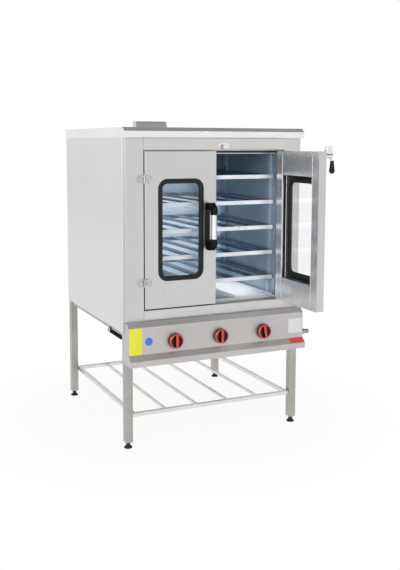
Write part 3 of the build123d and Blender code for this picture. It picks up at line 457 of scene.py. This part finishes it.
def make_piece(name, solids, material, body, stands_for=()):
    """One object from closed solids, each (points, faces) in metres. A face whose last two
    corners are the same point is made a triangle."""
    points, faces, start = [], [], 0
    for p, f in solids:
        points.append(p)
        faces += [tuple(dict.fromkeys(row)) for row in (facing_out(p, f) + start).tolist()]
        start += len(p)
    mesh = bpy.data.meshes.new(name)
    mesh.from_pydata(np.vstack(points).tolist(), [], faces)
    mesh.materials.append(material)
    mesh.shade_smooth()
    mesh.set_sharp_from_angle(angle=radians(40))
    piece = bpy.data.objects.new(name, mesh)
    bpy.context.scene.collection.objects.link(piece)
    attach(piece, body)
    if stands_for:
        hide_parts(*stands_for)
    print(f"{name}: {len(solids)} solids, {len(faces)} faces")
    return piece


def opened(points):
    """Points of the left door as they lie on the right door, which stands open: x is mirrored,
    then the point turns a quarter about the right hinge's pin."""
    pin = next(j for j in frame["joints"] if j["name"] == "right_door_hinge")["pos_m"]
    x, y = -points[..., 0] - pin[0], points[..., 1] - pin[1]
    return np.stack([pin[0] - y, pin[1] + x, points[..., 2]], -1)


# %% [markdown]
# ## Rubber round the windows
#
# Each pane is held by one extruded rubber profile that grips the door's sheet on its outside
# and the glass on its inside. It could be a bevelled frame, but the real one is a section
# carried round a rounded rectangle, so it is built that way: the section below is drawn once
# and follows the pane's outline. Its face is gently crowned, with a groove for the filler
# strip that locks it, and that crown is what gives the thin highlight along it.

# %% The path round a rounded rectangle
def rounded_path(middle, width, height, corner, steps):
    """Points and outward directions round a rounded rectangle that faces -Y: each corner's
    centre plus the corner radius times (cos a, sin a), with a running on over four corners."""
    quarter = np.linspace(0, np.pi / 2, steps)
    angle = np.concatenate([quarter + k * np.pi / 2 for k in range(4)])
    sign = np.repeat(np.array([(1, 1), (-1, 1), (-1, -1), (1, -1)]), steps, axis=0)
    out = np.stack([np.cos(angle), np.zeros_like(angle), np.sin(angle)], -1)
    centre = np.stack([sign[:, 0] * (width / 2 - corner), np.zeros_like(angle),
                       sign[:, 1] * (height / 2 - corner)], -1)
    return np.asarray(middle) + centre + out * corner, out


def carried(profile, path, out):
    """A section carried round a closed path: point (i, j) is path point i plus the section's
    first number times the outward direction and its second number towards -Y."""
    points = (path[:, None, :] + profile[None, :, :1] * out[:, None, :]
              + profile[None, :, 1:] * np.array([0, -1, 0]))
    return points.reshape(-1, 3), grid_faces(len(path), len(profile), True, True)


# %% The window rubber
def low_high(node):
    return (np.array(corner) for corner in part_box(node))


low, high = low_high("door_left_glass")
bite, band, lip = 6 * MM, 24 * MM, 12 * MM       # glass inside the rubber, face width, lip over the sheet
sheet, proud, sink, pane_depth = 1.5 * MM, 3.0 * MM, 6.0 * MM, 5.0 * MM
door_face = low[1] - sink
window_middle = ((low[0] + high[0]) / 2, door_face, (low[2] + high[2]) / 2)
sight = (high[0] - low[0] - 2 * bite, high[2] - low[2] - 2 * bite)
crown = np.linspace(0, 1, 13)
# the face: a low arch, cut by a round groove at the middle
face_u = band * crown
face_v = proud * (1 - (2 * crown - 1) ** 6) ** 0.5 * (0.75 + 0.25 * np.sin(np.pi * crown))
face_v = face_v - 1.1 * MM * np.exp(-((crown - 0.5) / 0.05) ** 2)
rear = -sink - pane_depth - 3 * MM
behind = [(band, 0), (lip, 0), (lip, -sheet), (band, -sheet), (band, rear + 4 * MM), (band - 3 * MM, rear),
          (1.5 * MM, rear), (0, rear + 1.5 * MM), (0, -sink - pane_depth),
          (bite, -sink - pane_depth), (bite, -sink), (0, -sink)]
section = np.vstack([np.stack([face_u, face_v], -1)[:-1], behind])
path, out = rounded_path(window_middle, *sight, 26 * MM, 12)
rubber = carried(section, path, out)

# behind the pane a flat rubber flange fills the well out to its square corners
well = (sight[0] + 2 * band + 26 * MM, sight[1] + 2 * band + 26 * MM)
outer = rounded_path(window_middle, well[0], well[1], 3 * MM, 12)[0]
inner = rounded_path(window_middle, sight[0] + 1.5 * band, sight[1] + 1.5 * band, 44 * MM, 12)[0]
share = np.array([0, 0, 0.06, 0.94, 1, 1])[None, :, None]
level = np.array([1.7, 5.2, 6.0, 6.0, 5.2, 1.7])[None, :, None] * MM * np.array([0, 1, 0])
ring = (outer[:, None, :] * (1 - share) + inner[:, None, :] * share + level).reshape(-1, 3)
flange = (ring, grid_faces(len(outer), 6, True, True))
make_piece("window_rubber_left", [rubber, flange], window_rubber, "left_door", ["door_left_gasket"])
make_piece("window_rubber_right", [(opened(p), f) for p, f in (rubber, flange)], window_rubber, "right_door",
           ["door_right_gasket"])

# %% [markdown]
# ## Edges of the window's well
#
# Inside the door the window lies in a well as deep as the door. The inner sheet is rolled over its rim, a
# bright strip holds the rubber at its bottom, and between the two runs a dark strip stands for the shadowed
# gap between them: painted shade. Each is a flat oval section carried round the well, sunk half into its
# wall.
#
# The inner sheet itself is made of four strips. Where they meet, above and below the well, a
# hand-run weld bead wanders a little from side to side.

# %% Rolled rim, holding strip, painted shadow gap and seams
def oval(depth, tall, wide):
    """A section: an ellipse, tall out of the wall and wide along it, that far behind the face."""
    a = np.arange(16) * np.pi / 8
    return np.stack([tall * np.cos(a), -depth + wide * np.sin(a)], -1) * MM


def seam(x, low_z, high_z, y, steps=30):
    """An upright bead: a circle of radius 1.5 mm (1 + 0.25 sin 9t) whose middle moves sideways
    by 1.2 mm sin(2.2t) as t goes from 0 to 10 along it, closed to a point at both ends."""
    t = np.linspace(0, 10, steps)
    r = 1.5 * MM * (1 + 0.25 * np.sin(9 * t))
    r[[0, -1]] = 0
    a = np.arange(10) * np.pi / 5
    middle = np.stack([x + 1.2 * MM * np.sin(2.2 * t), np.full(steps, y),
                       low_z + (high_z - low_z) * t / 10], -1)
    ring = np.stack([np.cos(a), np.sin(a), np.zeros(10)], -1)
    return (middle[:, None, :] + r[:, None, None] * ring).reshape(-1, 3), grid_faces(steps, 10, False, True)


path, out = rounded_path(window_middle, *well, 3 * MM, 8)
bright = [carried(oval(37.6, 2.4, 6.0), path, out), carried(oval(13.6, 2.0, 5.8), path, out)]
# A dark strip in the gap between rim and holding strip: painted shade for the gap's shadow.
shadow_gap_strip = carried(oval(26.0, 0.6, 7.4), path, out)
pan_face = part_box("door_left_liner")[1][1]
# The beads end short of the seal that the shut door presses on.
seal_low, seal_high = low_high("door_seal")
seal_run = 12 * MM
for side in (-1, 1):
    x = window_middle[0] + side * (well[0] / 2 + 1.5 * MM)
    bright.append(seam(x, window_middle[2] + well[1] / 2, seal_high[2] - seal_run, pan_face))
    bright.append(seam(x, seal_low[2] + seal_run, window_middle[2] - well[1] / 2, pan_face))
make_piece("well_edges_left", bright, steel_painted_highlight, "left_door")
make_piece("well_edges_right", [(opened(p), f) for p, f in bright], steel_painted_highlight, "right_door")
make_piece("well_tape_left", [shadow_gap_strip], window_rubber, "left_door")
make_piece("well_tape_right", [(opened(shadow_gap_strip[0]), shadow_gap_strip[1])], window_rubber, "right_door")

# %% [markdown]
# ## The seal round the chamber's mouth
#
# The doors close on a soft hollow bead. Its section is a round bulb on a flat foot, and it
# runs once round the mouth of the chamber in one length.

# %% The door seal
low, high = low_high("door_seal")
bulb = np.linspace(np.radians(-35), np.radians(215), 15)
half, deep = 5.0 * MM, high[1] - low[1]
across = half * np.cos(bulb)
section = np.stack([across, deep - half + half * np.sin(bulb)], -1)
section = np.vstack([section, [(-half, 1.2 * MM), (-half, 0), (half, 0), (half, 1.2 * MM)]])
middle = ((low[0] + high[0]) / 2, high[1], (low[2] + high[2]) / 2)
path, out = rounded_path(middle, high[0] - low[0] - 2 * half, high[2] - low[2] - 2 * half, 17 * MM, 10)
make_piece("mouth_seal", [carried(section, path, out)], seal_rubber, "oven", ["door_seal"])

# %% The seal's pale lowest run
# The lowest run of the seal is coloured pale; what makes it pale is not known. The colour turns 12 mm above
# the bottom of the seal.
tree = seal_rubber.node_tree
shader = next(n for n in tree.nodes if n.type == "BSDF_PRINCIPLED")
height = add(tree, "SeparateXYZ", links={"Vector": add(tree, "TexCoord").outputs["Object"]}).outputs["Z"]
lowest_run_mask = add(tree, "MapRange", {"From Min": low[2] + 14 * MM, "From Max": low[2] + 10 * MM}, {"Value": height})
seal_colour = shader.inputs["Base Color"].links[0].from_socket
pale = add(tree, "MixRGB", {"Color2": linear("#C9CBCE")}, {"Fac": lowest_run_mask.outputs[0], "Color1": seal_colour})
tree.links.new(pale.outputs[0], shader.inputs["Base Color"])
print("seal turns pale below", round(low[2] * 1000 + 12), "mm")

# %% [markdown]
# ## Screws and rivets
#
# Sheet work is held by small round heads. Each head is a profile turned about its axis: a
# pan head is nearly flat with a rounded rim and a cross-shaped drive, and a rivet is a plain
# dome. One function makes all the heads of a kind at once, from their places and the way they
# face, because only the place changes from one to the next.

# %% Heads turned about an axis
def heads(places, facing, radius, tall, drive=True, rings=9, spokes=28):
    """Closed round heads. With t from 0 at the rim to 1 at the middle, a point has the radius
    R * (1 - t) and the height tall * (1 - (1 - t) ** 4) ** 0.5. The drive lowers the points
    that lie within a sixth of R of either of two crossed lines, inside six tenths of R."""
    n = np.array(facing, float) / np.linalg.norm(facing)
    side = np.cross(n, (0, 0, 1) if abs(n[2]) < 0.9 else (0, 1, 0))
    side /= np.linalg.norm(side)
    up = np.cross(side, n)
    t = np.linspace(0, 1, rings)
    r = radius * np.concatenate([[0, 1], 1 - t[1:]])
    h = tall * np.concatenate([[-0.1, -0.1], (1 - (1 - t[1:]) ** 4) ** 0.5])
    angle = np.arange(spokes) * 2 * np.pi / spokes
    x, y = np.outer(r, np.cos(angle)), np.outer(r, np.sin(angle))
    z = np.repeat(h[:, None], spokes, 1)
    if drive:
        near = np.minimum(np.abs(x), np.abs(y)) < radius / 6
        inside = (np.hypot(x, y) < 0.6 * radius) & (np.arange(len(r)) > 1)[:, None]
        z = np.where(near & inside, z - 0.45 * tall, z)
    head = (x[..., None] * side + y[..., None] * up + z[..., None] * n).reshape(-1, 3)
    faces = grid_faces(len(r), spokes, False, True)
    return [(head + np.array(place), faces) for place in places]


# %% [markdown]
# Hinge leaves have one screw each and the catch has two. The panel's cheeks are screwed twice.
# The back sheet has a screw about every hand's width, which is a guess, because the photograph
# doesn't show it. Places come from the parts that the heads sit on.

# %% Screws on the cabinet
screws = []
low, high = low_high("frame_hinges")
leaf_front = door_face - 2.5 * MM
leaf_half, leaf_reach = 21.5 * MM, 23 * MM       # half a leaf's height, pin to screw
hinge_z = [low[2] + leaf_half, high[2] - leaf_half]
hinge_pin = next(j for j in frame["joints"] if j["name"] == "left_door_hinge")["pos_m"][0]
for x in (hinge_pin - leaf_reach, -hinge_pin + leaf_reach):
    screws += heads([(x, leaf_front, z) for z in hinge_z], (0, -1, 0), 4.2 * MM, 2.0 * MM)
low, high = low_high("latch_catch")
catch_z = (low[2] + high[2]) / 2
catch_x = (low[0] + high[0]) / 2
spots = [(catch_x + s * 21 * MM, high[1] - 2 * MM, catch_z) for s in (-1, 1)]
screws += heads(spots, (0, -1, 0), 3.6 * MM, 1.8 * MM)
low, high = low_high("panel_cheeks")
for x, way in ((low[0], -1), (high[0], 1)):
    spots = [(x, door_face - 22 * MM, z) for z in (high[2] - 42 * MM, low[2] + 42 * MM)]
    screws += heads(spots, (way, 0, 0), 3.6 * MM, 1.8 * MM)
low, high = low_high("back_panel")
rows = np.linspace(low[2] + 25 * MM, high[2] - 40 * MM, 7)
columns = np.linspace(low[0] + 20 * MM, high[0] - 20 * MM, 7)
spots = [(x, high[1], z) for x in columns for z in (rows[0], rows[-1])]
spots += [(x, high[1], z) for x in (columns[0], columns[-1]) for z in rows[1:-1]]
screws += heads(spots, (0, 1, 0), 3.6 * MM, 1.8 * MM)
make_piece("cabinet_screws", screws, chrome, "oven")

# %% Screws and rivets on the doors
door_low, door_high = low_high("door_left_skin")
leaf_spots = np.array([(hinge_pin + leaf_reach, leaf_front, z) for z in hinge_z])
left = heads(leaf_spots, (0, -1, 0), 4.2 * MM, 2.0 * MM)
right = [(opened(p), f) for p, f in left]
inner_face = door_high[1]
rim = [(x, inner_face, z) for x in (door_low[0] + 14 * MM, door_high[0] - 14 * MM)
       for z in np.linspace(door_low[2] + 30 * MM, door_high[2] - 30 * MM, 5)]
rivets = heads(rim, (0, 1, 0), 3.0 * MM, 1.2 * MM, drive=False)
well_side = window_middle[0] - well[0] / 2 + 1.6 * MM
returns = [(well_side, door_face + 13.6 * MM, z) for z in (1.319, 1.087, 0.862)]
rivets += heads(returns, (1, 0, 0), 3.2 * MM, 1.4 * MM)
make_piece("left_door_screws", left + rivets, chrome, "left_door")
make_piece("right_door_screws", right + [(opened(p), f) for p, f in rivets], chrome, "right_door")

# %% [markdown]
# ## Plates on the control panel
#
# Thin vinyl plates are stuck on the panel: a yellow one, a blue disc, a white one and a red
# one on the slope below. They are left bare. Each is a slab with a rounded outline and a
# rolled edge, half a millimetre proud.

# %% Plates
def plate(middle, right, up, width, height, exponent, thick=0.5 * MM, spokes=48):
    """A slab with a superellipse outline: at angle a the outline is (w / 2 * sign(cos a) *
    |cos a| ** (2 / n), the same with sin for the height), and the rings shrink towards the
    middle while the face rises to its thickness."""
    a = np.arange(spokes) * 2 * np.pi / spokes
    power = 2 / exponent
    x = width / 2 * np.sign(np.cos(a)) * np.abs(np.cos(a)) ** power
    y = height / 2 * np.sign(np.sin(a)) * np.abs(np.sin(a)) ** power
    inset = np.array([1, 1, 1 - 0.15 * thick / width, 1 - 0.8 * thick / width, 0.5, 0])
    rise = thick * np.array([-0.2, 0.6, 0.9, 1.0, 1.0, 1.0])
    inset, rise = np.concatenate([[0], inset]), np.concatenate([[-0.2 * thick], rise])
    right, up = np.array(right, float), np.array(up, float)
    out = np.cross(right, up)
    points = (inset[:, None, None] * (x[:, None] * right + y[:, None] * up) + rise[:, None, None] * out)
    return (points + np.array(middle)).reshape(-1, 3), grid_faces(len(inset), spokes, False, True)


yellow = moulded("yellow vinyl plate", "#FFF94A", "#FBF540", (0.30, 0.40), 0.01, 3.0)
blue = moulded("blue vinyl plate", "#5588F4", "#4C80EC", (0.30, 0.40), 0.01, 3.0)
white_vinyl = moulded("white vinyl plate", "#F6F6F8", "#F1F1F4", (0.30, 0.40), 0.01, 3.0)
red = moulded("red vinyl plate", "#E8565C", "#E04E56", (0.30, 0.40), 0.01, 3.0)
low, high = low_high("control_panel")
face_y = low[1] + 28 * MM
flat, upwards = (1, 0, 0), (0, 0, 1)
# name, place along and up the panel, width and height, squareness of the outline, finish, slot
upright_plates = [("plate_yellow", -0.4575, 0.553, 69, 130, 24.0, yellow, "vinyl_yellow"),
                  ("plate_blue", -0.389, 0.5475, 40, 40, 2.0, blue, "vinyl_blue"),
                  ("plate_white", 0.4478, 0.5492, 84, 79, 30.0, white_vinyl, "vinyl_white")]
for name, x, z, width, tall, squareness, vinyl, slot in upright_plates:
    slab = plate((x, face_y, z), flat, upwards, width * MM, tall * MM, squareness)
    make_piece(name, [slab], vinyl, "oven")

slope = np.array([0, -28.0, -25.0]) / np.hypot(28, 25)
slope_middle = np.array([0.448, face_y - 14 * MM, low[2] + 29 * MM + 12.5 * MM])
make_piece("plate_red", [plate(slope_middle, flat, -slope, 84 * MM, 34 * MM, 12.0)], red, "oven")

# %% [markdown]
# ## Thread on the gas inlet
#
# The gas pipe screws on at the panel's right end. The CAD part is a smooth nipple, and a
# half-inch pipe thread goes over it: one ridge that climbs 1.8 mm in each turn. It is a
# surface of angle and length, whose radius rises and falls with the length minus the climb.

# %% The thread
low, high = low_high("gas_line")
gas_y, gas_z = door_face - 20 * MM, 0.506
pitch, root, crest = 1.8 * MM, 10.4 * MM, 11.4 * MM
along = np.linspace(high[0] - 27 * MM, high[0] - 1 * MM, 131)
turns = np.arange(40) * 2 * np.pi / 40
climb = (along[:, None] / pitch - turns[None, :] / (2 * np.pi)) % 1.0
taper = np.clip(np.minimum(along - along[0], along[-1] - along) / (2 * MM), 0, 1)[:, None]
radius = root + (crest - root) * taper * (1 - np.abs(2 * climb - 1))
radius[[0, -1], :] = 7.8 * MM
thread = np.stack([np.broadcast_to(along[:, None], radius.shape), gas_y + radius * np.cos(turns),
                   gas_z + radius * np.sin(turns)], -1).reshape(-1, 3)
thread_faces = grid_faces(len(along), len(turns), True, True)
make_piece("inlet_thread", [(thread, thread_faces)], pipe_zinc, "oven")

# %% [markdown]
# ## Weld beads on the stand
#
# The shelf's tubes are welded to the legs and the rods to the tubes. A bead is a small
# rounded ridge that follows the joint and swells a little with each drop of weld. Here a
# round section is carried round the square outline of each tube's end, and its thickness
# goes up and down five times on each side.

# %% Weld beads
def bead(middle, normal, size, thick, ripples=20, steps=12):
    """A ridge round a square tube's end. The path is a rounded square of that size in the
    plane across the normal, and its section is a circle of radius thick * (1 + 0.22 sin)."""
    path, out = rounded_path((0, 0, 0), size, size, size * 0.15, steps)
    a = np.arange(8) * np.pi / 4
    swell = thick * (1 + 0.22 * np.sin(np.linspace(0, 2 * np.pi, len(path), endpoint=False) * ripples))
    points = (path[:, None, :] + swell[:, None, None] * (np.cos(a)[None, :, None] * out[:, None, :]
              + np.sin(a)[None, :, None] * np.array([0, -1, 0]))).reshape(-1, 3)
    if abs(normal[0]) > 0.5:
        points = points[:, [1, 0, 2]]
    return points + np.array(middle), grid_faces(len(path), 8, True, True)


low, high = low_high("lower_shelf")
leg_low, leg_high = low_high("stand_frame")
tube, leg = 20 * MM, 40 * MM
shelf_z = high[2] - tube / 2
welds = []
for y in (leg_low[1] + leg / 2, leg_high[1] - leg / 2):
    for x in (leg_low[0] + leg, leg_high[0] - leg):
        welds.append(bead((x, y, shelf_z), (1, 0, 0), tube, 1.6 * MM))
side_x = low[0] + tube / 2 + 1 * MM
rods = np.linspace(side_x, -side_x, 6)
for y in (leg_low[1] + leg / 2 + tube / 2, leg_high[1] - leg / 2 - tube / 2):
    for x, size in zip(rods, (tube, 14 * MM, 14 * MM, 14 * MM, 14 * MM, tube)):
        welds.append(bead((x, y, shelf_z), (0, 1, 0), size, 1.2 * MM))
make_piece("stand_welds", welds, steel_tube, "oven")
